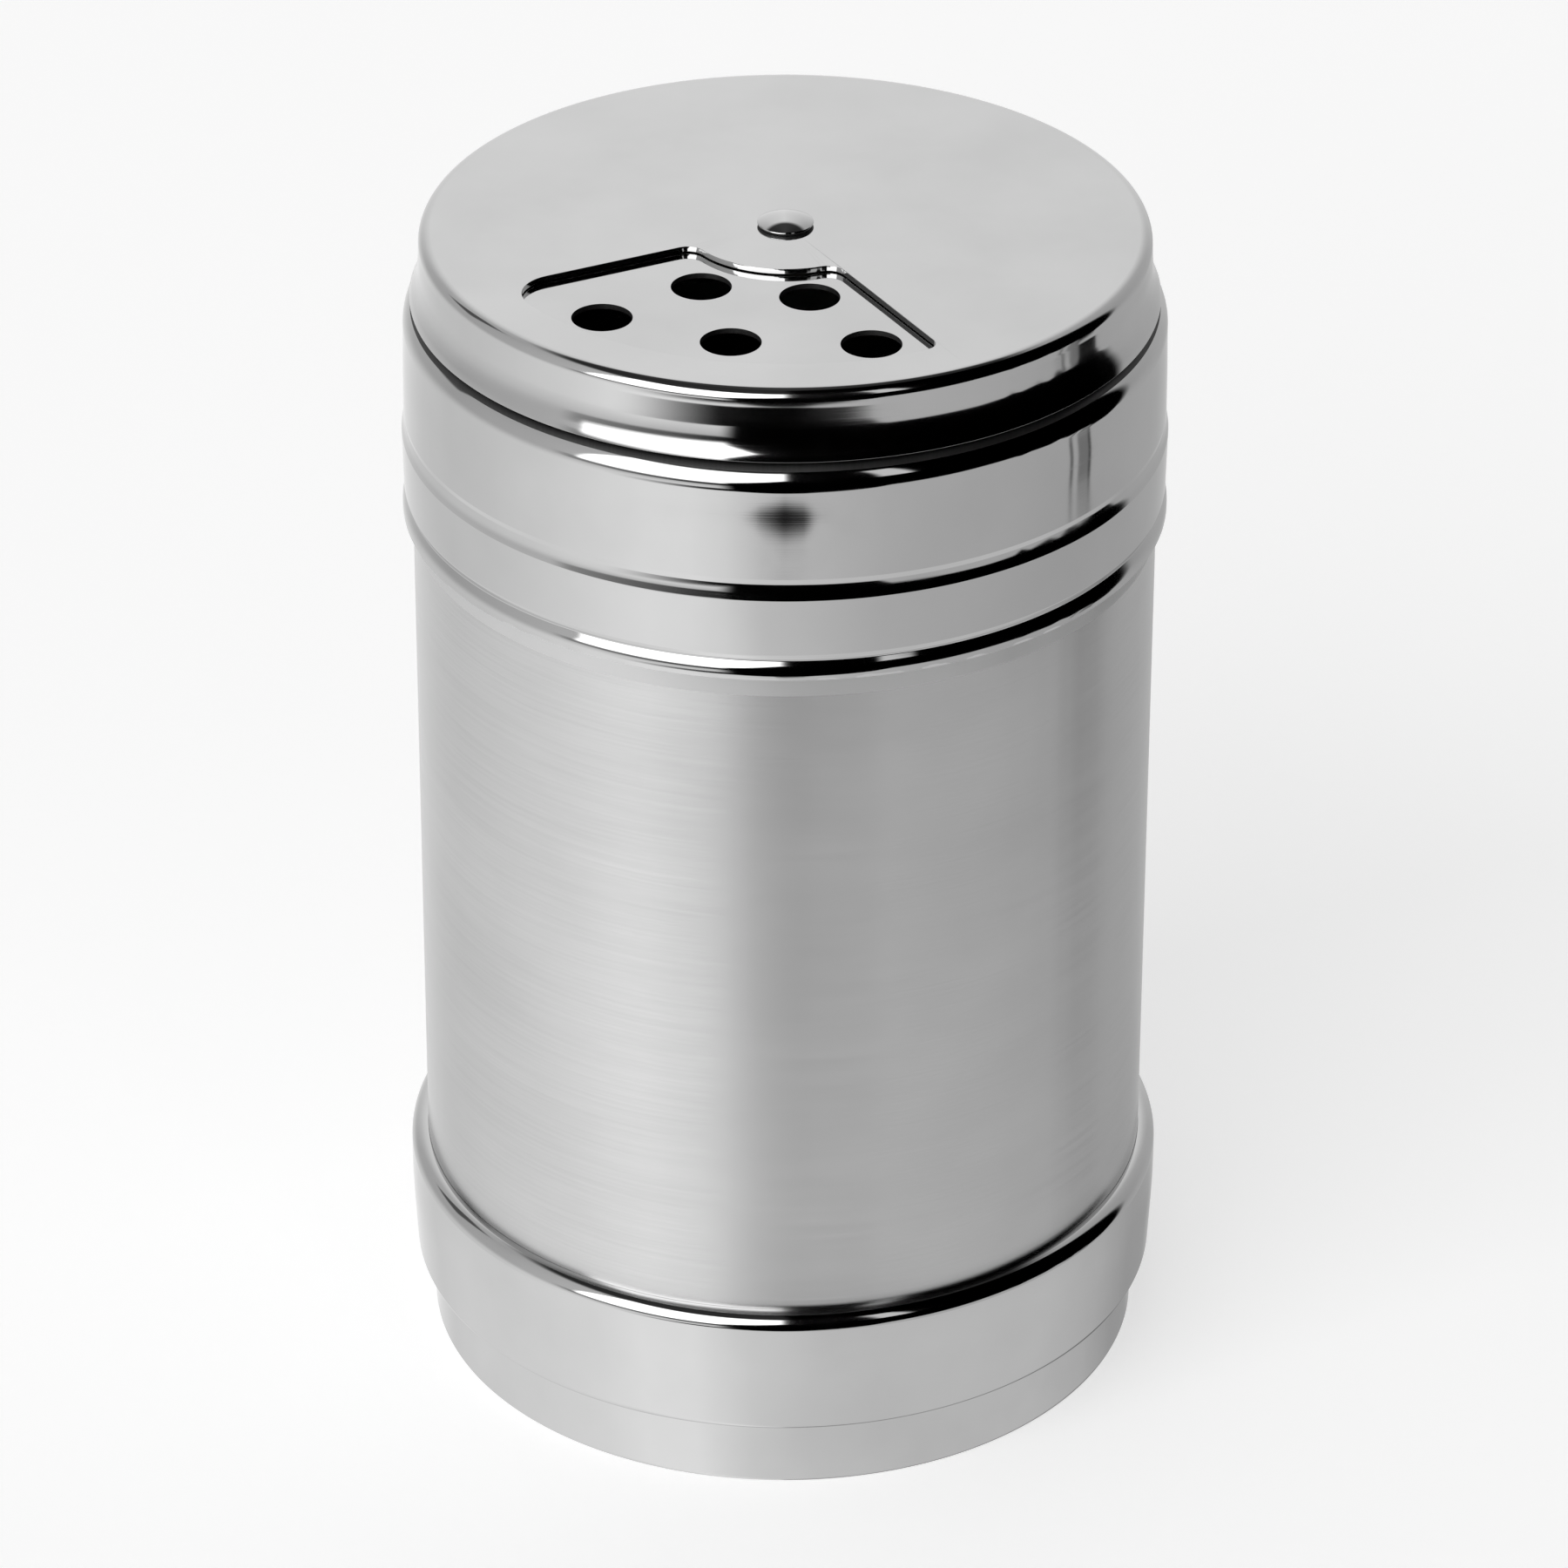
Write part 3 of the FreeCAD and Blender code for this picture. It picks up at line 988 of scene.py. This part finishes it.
@dataclass
class Lid(SubAssembly):
    """Screw-on lid: polished shell with the perforated plate, moulded liner and soft seal."""

    sheet: float = 0.4
    edge: float = 70.2
    band: float = 28.2
    upper_band: float = 28.02
    shoulder: float = 87.0
    boss: float = 26.0
    plate: float = 91.9
    shank: float = 1.22
    hole: float = 2.2
    middle_line: float = 257.95
    holes: tuple[tuple[float, float], ...] = (
        (18.45, 0),
        (19.3, -30.5),
        (19.3, 30.5),
        (11.0, -21.2),
        (11.0, 21.2),
    )
    pour: tuple[float, float, float, float] = (9.6, 21.0, 35.0, 111.0)

    def build(self) -> None:
        """Makes the shell, the liner and the seal."""
        self.build_shell()
        self.build_liner()
        seal = rounded(
            [(24.7, 84.05, 0), (26.15, 84.05, 0.25), (26.15, 85.25, 0.25)]
            + [(23.35, 85.25, 0.1), (23.35, 84.05, 0.25), (24.7, 84.05, 0)]
        )
        ring = spun("soft_seal", seal[:-1], closed=True)
        finish_edges(ring, 0.0)
        self.seat(ring, "seal_ring", Body.SEAL, "silicone_seal")

    def build_shell(self) -> None:
        """Spins the shell with its necking, rolled groove and raised plate, and punches it."""
        low = self.edge
        outline = rounded(
            [
                (self.band + 0.14, low, 0),
                (self.band + 0.14, low + 0.72, 1.6),
                (self.band - 0.22, low + 1.4, 0.12),
                (self.band, low + 1.9, 0.3),
                (self.band + 0.09, low + 6.4, 0.25),
                (self.band - 0.068, low + 6.95, 2.5),
                (self.band - 0.13, low + 7.6, 0.5),
                (self.upper_band + 0.1, low + 8.0, 0.3),
                (self.upper_band + 0.065, low + 11.7, 150),
                (self.upper_band + 0.01, low + 14.0, 80),
                (self.upper_band, self.shoulder, 1.9),
                (self.boss, self.shoulder, 0.35),
                (self.boss, self.plate, 0.8),
                (self.shank, self.plate, 0),
            ]
        )
        shell = spun("lid_shell_pressed", outline)
        give_sheet(shell, self.sheet)
        under, over = self.plate - 1.0, self.plate + 1.0
        tools = [prism("pour_tool", fan_outline(*self.pour, [1.3] * 4), under, over)]
        for reach, spread in self.holes:
            angle = math.radians(self.middle_line + spread)
            tools.append(drill("hole_tool", self.hole, reach, angle, under, over))
        cut(shell, tools)
        finish_edges(shell, 0.03)
        self.seat(shell, "lid_shell", Body.LID, "polished_steel")

    def build_liner(self) -> None:
        """Spins the moulded liner and raises its thread."""
        bore, outer = 26.35, 27.6
        foot, flange, top = 72.9, 85.25, 86.6
        low, waist, high = (bore, foot + 0.3), (bore, 80.0), (bore, flange - 0.3)
        outline = rounded(
            [
                (*waist, 0),
                *reversed(fine_run(low, waist, THREAD_STEP)),
                (bore, foot, 0.25),
                (outer, foot, 0.25),
                (outer, 77.05, 0),
                (27.43, 77.65, 0),
                (outer, 78.25, 0),
                (outer, top - 1.9, 0),
                (outer - 1.9, top, 0),
                (bore - 3.1, top, 0.2),
                (bore - 3.1, flange, 0.2),
                (bore, flange, 0),
                *reversed(fine_run(waist, high, THREAD_STEP)),
                (*waist, 0),
            ]
        )
        ring = spun("thread_ring", outline[:-1], closed=True)
        thread = Thread(ThreadSide.INWARD, bore, 74.9, 90, 1.0, 0.83)
        thread.press_into(ring, (bore - ON_WALL, bore + ON_WALL))
        finish_edges(ring, 0.0)
        self.seat(ring, "thread_liner", Body.LID, "white_polypropylene")

    def dress(self) -> None:
        """Polishes the shell, gives its sheared edges and the shoulder under the cap's lip the
        dark steel of painted shade, and colours the plastics.
        """
        shell, liner, seal = self.pieces
        self.paint(shell, LID_STEEL, INNER_STEEL, SHEARED_AND_SHADE_STEEL)
        for face in shell.data.polygons:
            middle, normal = face.center / MM, face.normal
            outwards = middle.xy.normalized().dot(normal.xy)
            inside = middle.xy.length < self.boss - 1
            # Sheared edges of the holes, the opening and the foot get the dark sheared steel,
            # whose darkness is partly painted shade.
            if inside and middle.z > self.plate - self.sheet + 0.02 and normal.z < 0.9:
                face.material_index = 2
            # Painted shade: the polished shoulder under the cap's lip gets the dark sheared
            # steel, which stands in for the shadow in the gap beneath the lip.
            elif middle.z > self.shoulder - 0.8 and self.boss < middle.xy.length < 27.38:
                face.material_index = 2
            elif middle.z < self.edge + 0.02 and normal.z < -0.5:
                face.material_index = 2
            elif normal.z < -0.5 or outwards < -0.3:
                face.material_index = 1
        self.paint(liner, LINER_PLASTIC)
        self.paint(seal, SEAL_SILICONE)


@dataclass
class Cap(SubAssembly):
    """Rotating cap: polished disc with a fan-shaped window, short skirt and flared lip."""

    sheet: float = 0.4
    lip: float = 27.5
    lip_z: float = 87.2
    skirt: float = 26.73
    top: float = 92.4
    bore: float = 1.28
    window: tuple[float, float, float, float] = (7.35, 22.45, 206.5, 299.4)
    window_rounds: tuple[float, float, float, float] = (1.0, 1.3, 1.3, 3.0)

    def build(self) -> None:
        """Spins the cap and punches its window."""
        outline = rounded(
            [
                (self.lip, self.lip_z, 0),
                (self.skirt + 0.19, self.lip_z + 1.35, 5.4),
                (self.skirt + 0.09, self.lip_z + 2.7, 20),
                (self.skirt + 0.03, self.lip_z + 3.9, 4),
                (self.skirt + 0.02, self.top, 0.9),
                (self.bore, self.top, 0),
            ]
        )
        shell = spun("cap_shell", outline)
        give_sheet(shell, self.sheet)
        plan = fan_outline(*self.window, self.window_rounds)
        cut(shell, [prism("window_tool", plan, self.top - 1.0, self.top + 1.0)])
        finish_edges(shell, 0.03)
        self.seat(shell, "rotating_cap", Body.CAP, "polished_steel")

    def dress(self) -> None:
        """Polishes the outside and the window's edges, leaves the inside as rolled, and gives the
        lip's cut edge the dull dark steel, whose darkness is painted shade for the gap under the
        lip.
        """
        shell = self.pieces[0]
        self.paint(shell, CAP_STEEL, INNER_STEEL, SHEARED_AND_SHADE_STEEL)
        for face in shell.data.polygons:
            middle, normal = face.center / MM, face.normal
            outwards = middle.xy.normalized().dot(normal.xy)
            # The lip's cut edge is painted dark: painted shade for the gap below the lip.
            if middle.z < self.lip_z + 0.02 and normal.z < -0.5:
                face.material_index = 2
            elif middle.z > self.top - self.sheet + 0.02 and middle.xy.length < self.skirt - 2:
                face.material_index = 0
            elif normal.z < -0.5 or outwards < -0.3:
                face.material_index = 1


@dataclass
class Pivot(SubAssembly):
    """Domed rivet and the washers that it clamps."""

    head: float = 2.08
    seat_z: float = 92.41
    edge: float = 0.26
    undercut: float = 0.12
    crown: float = 0.79
    shank: float = 1.2
    tail: float = 2.0
    tail_top: float = 90.45
    hollow: float = 0.7
    washers: dict[str, Finish] = field(
        default_factory=lambda: {
            "wear_washer": WASHER_NYLON,
            "spring_washer": SPRING_STEEL,
            "backing_washer": INNER_STEEL,
        }
    )

    def build(self) -> None:
        """Spins the rivet."""
        edge_z = self.seat_z + self.edge
        rise = self.crown - self.edge
        sphere = (self.head**2 + rise**2) / (2 * rise)
        lean = math.asin(self.head / sphere)
        dome: list[Point] = []
        steps = 16
        for index in range(steps + 1):
            turn = lean * index / steps
            dome.append((sphere * math.sin(turn), edge_z + rise - sphere * (1 - math.cos(turn))))
        rest = rounded(
            [
                (self.head, edge_z, 0),
                (self.head - self.undercut, self.seat_z, 0),
                (self.shank, self.seat_z, 0),
                (self.shank, self.tail_top, 0),
                (self.tail, self.tail_top, 0),
                (self.tail - 0.3, self.tail_top - 0.6, 0),
                (self.hollow, self.tail_top, 0.6),
                (self.hollow, self.tail_top + 1.0, 0),
                (0, self.tail_top + 1.0, 0),
            ]
        )
        rivet = spun("domed_rivet", dome + rest[1:])
        finish_edges(rivet, 0.06, 40)
        self.seat(rivet, "pivot_rivet", Body.LID, "rivet_steel")

    def dress(self) -> None:
        """Polishes the rivet, gives its undercut the dull dark steel as painted shade for the gap
        under the head, and dresses the frame's washers.
        """
        rivet = self.pieces[0]
        self.paint(rivet, RIVET_STEEL, SHEARED_AND_SHADE_STEEL)
        for face in rivet.data.polygons:
            middle = face.center / MM
            # Painted shade: the undercut below the head's rim is dark, standing in for the shadow
            # in the gap under the head.
            if self.seat_z - 0.01 < middle.z < self.seat_z + self.edge - 0.05:
                face.material_index = 1
        for node, finish in self.washers.items():
            self.paint(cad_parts[node], finish)


# Studio


@dataclass
class Studio:
    """Light tent with one white softbox front left, a dark camera side and a pale table.

    Directions are degrees: azimuth 0 is towards the camera and 90 is to the right.
    """

    camera_place: tuple[float, float, float] = (0, -499.75, 333.9)
    camera_tilt: float = 60.0
    camera_roll: float = 0.15
    focal: float = 174.56
    walls: Stops = (
        (-180, 0.97),
        (-160, 0.84),
        (-138, 0.56),
        (-110, 0.5),
        (-66, 0.62),
        (104, 0.38),
        (120, 0.46),
        (145, 0.55),
        (165, 0.8),
        (180, 0.94),
    )
    floor: Stops = (
        (-180, 0.92),
        (-160, 0.84),
        (-140, 0.78),
        (-120, 0.76),
        (-100, 0.82),
        (-80, 0.92),
        (-42, 1.12),
        (-28, 1.09),
        (-18, 1.0),
        (-6, 0.79),
        (10, 0.71),
        (30, 0.61),
        (90, 0.52),
        (150, 0.5),
        (165, 0.55),
        (180, 0.7),
    )
    near_floor: Stops = (
        (-180, 0.92),
        (-160, 0.86),
        (-140, 0.8),
        (-120, 0.9),
        (-80, 0.97),
        (-60, 1.03),
        (-45, 1.13),
        (-28, 1.11),
        (-10, 0.9),
        (10, 0.8),
        (30, 0.75),
        (90, 0.71),
        (118, 0.6),
        (140, 0.42),
        (160, 0.38),
        (180, 0.55),
    )
    dark_depth: Stops = (
        (-30, 0.2),
        (-14, 0.77),
        (-7, 0.91),
        (0, 0.99),
        (6, 0.95),
        (10, 0.81),
        (19, 0.64),
        (26, 0.45),
        (31, 0.03),
        (60, 0.0),
        (70, 0.15),
        (73, 0.4),
        (76, 0.2),
        (84, 0.45),
        (87, 0.2),
        (92, 0.6),
        (96, 0.45),
        (102, 0.6),
        (103.5, 0.85),
        (111, 0.8),
        (114, 0.3),
    )

    softbox_span: Point = (-61, 30)
    softbox_heights: Point = (4, 54)
    softbox_light: float = 2.0
    strip_span: Point = (28, 38)
    strip_heights: Point = (20.5, 50)
    strip_light: float = 0.8
    dark_span: Point = (-30, 115)
    low_dark_span: Point = (-12, 40)
    post_span: Point = (98, 104)
    post_lines: Stops = ((95, 0.7), (103.5, 0.3))
    table_side: float = 6.0

    def build(self) -> None:
        """Sets up the camera, the table and the light."""
        scene = bpy.context.scene
        scene.view_settings.view_transform = "Standard"
        self.build_camera(scene)
        self.build_table()
        self.build_tent(scene)

    def build_camera(self, scene: bpy.types.Scene) -> None:
        """Places a long lens that looks down at 30 degrees.

        Args:
            scene: Scene that gets the camera.
        """
        data = bpy.data.cameras.new("camera")
        data.lens = self.focal
        data.sensor_width = 36.0
        data.clip_start, data.clip_end = 0.01, 50
        camera = bpy.data.objects.new("camera", data)
        camera.location = Vector(self.camera_place) * MM
        tilt = Matrix.Rotation(math.radians(self.camera_tilt), 3, "X")
        roll = Matrix.Rotation(math.radians(self.camera_roll), 3, "Z")
        camera.rotation_euler = (tilt @ roll).to_euler()
        scene.collection.objects.link(camera)
        scene.camera = camera

    @staticmethod
    def around(azimuth: Field, stops: Stops) -> Field:
        """Gives a brightness that changes with the azimuth.

        Args:
            azimuth: Degrees from -180 to 180.
            stops: (azimuth, brightness) in order.

        Returns:
            The brightness.
        """
        share = azimuth.mapped((-180, 180), (0, 1))
        ramp = add(azimuth.tree, "ValToRGB", links={0: share.socket})
        elements = ramp.color_ramp.elements
        while len(elements) < len(stops):
            elements.new(0.5)
        for element, (place, value) in zip(elements, stops):
            element.position = (place + 180) / 360
            # A colour stop ends at 1, so the ramp holds half of each brightness.
            element.color = (value / 2, value / 2, value / 2, 1)
        return Field(azimuth.tree, ramp.outputs[0]) * 2.0

    def build_tent(self, scene: bpy.types.Scene) -> None:
        """Makes the light tent as a procedural world.

        Args:
            scene: Scene that gets the world.
        """
        world = bpy.data.worlds.new("light_tent")
        scene.world = world
        world.use_nodes = True
        tree = world.node_tree
        tree.nodes.clear()
        place = add(tree, "TexCoord")
        split = add(tree, "SeparateXYZ", links={0: place.outputs["Generated"]})
        x, y, z = (Field(tree, socket) for socket in split.outputs)
        azimuth = x.worked("ARCTAN2", x, y * -1.0) * math.degrees(1)
        height = z.worked("ARCSINE", z) * math.degrees(1)
        # The softbox's right edge leans: it is further left near its foot.
        beside = azimuth - height.mapped((7, 24), (-17, 0))
        dark = self.dark_side(azimuth, height, beside)
        light = self.surroundings(azimuth, height) * (1.0 - dark)
        softbox = azimuth.within(*self.softbox_span, 1.5)
        softbox = softbox * beside.mapped((-1.5, 1.5), (1, 0), smooth=True)
        softbox = softbox * height.within(*self.softbox_heights, 3)
        strip = azimuth.within(*self.strip_span, 1.5) * height.within(*self.strip_heights, 1)
        light = light + softbox * self.softbox_light + strip * self.strip_light
        seen = add(tree, "Background", {"Color": linear("FAFAFA"), "Strength": 1.0})
        lamp = add(tree, "Background", {"Color": (1, 1, 1, 1)}, {"Strength": light.socket})
        ray = add(tree, "LightPath")
        links = {0: ray.outputs["Is Camera Ray"], 1: lamp.outputs[0], 2: seen.outputs[0]}
        mix = add(tree, "MixShader", links=links)
        add(tree, "OutputWorld", links={0: mix.outputs[0]})

    def surroundings(self, azimuth: Field, height: Field) -> Field:
        """Lights the walls, the floor below them and the sheet round the shaker.

        Args:
            azimuth: Degrees, 0 towards the camera.
            height: Degrees above the horizon.

        Returns:
            The brightness, with the object's shadow at the right behind it.
        """
        walls = self.around(azimuth, self.walls)
        floor = self.around(azimuth, self.floor)
        near = self.around(azimuth, self.near_floor)
        light = walls.towards(floor, height.mapped((2, -24), (0, 1), smooth=True))
        light = light.towards(near, height.mapped((-31, -34), (0, 1), smooth=True))
        shadow = azimuth.within(124, 160, 16) * height.mapped((-36, -42), (0, 0.6), smooth=True)
        return light * (1.0 - shadow)

    def dark_side(self, azimuth: Field, height: Field, beside: Field) -> Field:
        """Darkens the unlit side at the front right, the softbox's rim and the ceiling.

        Args:
            azimuth: Degrees, 0 towards the camera.
            height: Degrees above the horizon.
            beside: Degrees to the right of the softbox's edge.

        Returns:
            1 where no light comes from, and 0 where the tent is lit.
        """
        border = self.around(azimuth, self.dark_depth).mapped((0, 1), (-16.5, -26.5))
        over = (height - border).mapped((-1.0, 0.8), (0, 1), smooth=True)
        right = beside.mapped((-3, 3), (0, 1), smooth=True)
        front = right * azimuth.within(*self.dark_span, 3) * over
        low_front = azimuth.within(*self.low_dark_span, 7) * over * height.within(-40, -17, 1)
        haze = azimuth.mapped((-56, -18), (0, 1), smooth=True)
        haze = haze * azimuth.within(-90, 2, 1) * height.within(-24.2, -17, 1.2)
        post = azimuth.within(*self.post_span, 0.7) * 0.55
        for place, depth in self.post_lines:
            post = post + azimuth.within(place - 0.7, place + 0.7, 0.5) * depth
        post = post * height.within(-27.2, -15, 0.6)
        rim = azimuth.mapped((-65, -15), (0.45, 1.0))
        rim = rim * azimuth.within(-66, -10, 4) * height.within(-5, 6, 1.5)
        slit = azimuth.within(-127, -113, 2) * 0.8 * height.within(20, 40, 3)
        ceiling = height.mapped((48, 58), (0, 0.94), smooth=True)
        dark = front
        for shade in (low_front, haze, rim, slit, post):
            dark = dark.larger(shade)
        return dark.larger(ceiling, clamp=True)

    def build_table(self) -> None:
        """Makes the pale table: lit paper to the eye, and left out of the steel's reflections."""
        bpy.ops.object.select_all(action="DESELECT")
        bpy.ops.mesh.primitive_plane_add(size=self.table_side, location=(0, 0, 0))
        table = bpy.context.object
        table.name = "table"
        table.visible_glossy = table.visible_shadow = False
        made = bpy.data.materials.new("pale_paper")
        made.use_nodes = True
        tree = made.node_tree
        tree.nodes.clear()
        paper = add(tree, "BsdfDiffuse", {"Color": linear("D8D8D8")})
        glow = add(tree, "Emission", {"Color": (1, 1, 1, 1), "Strength": 0.6})
        seen = add(tree, "AddShader", links={0: paper.outputs[0], 1: glow.outputs[0]})
        add(tree, "OutputMaterial", links={"Surface": seen.outputs[0]})
        table.data.materials.append(made)


def main() -> None:
    """Builds, dresses and lights the shaker."""
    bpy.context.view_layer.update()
    makers: list[Callable[[], SubAssembly]] = [BaseCup, Can, Lid, Cap, Pivot]
    for maker in makers:
        part = maker()
        part.build()
        part.dress()
        names = ", ".join(piece.name for piece in part.pieces)
        log.info("%s: %s", type(part).__name__, names)
    Studio().build()


if __name__ == "__main__":
    main()
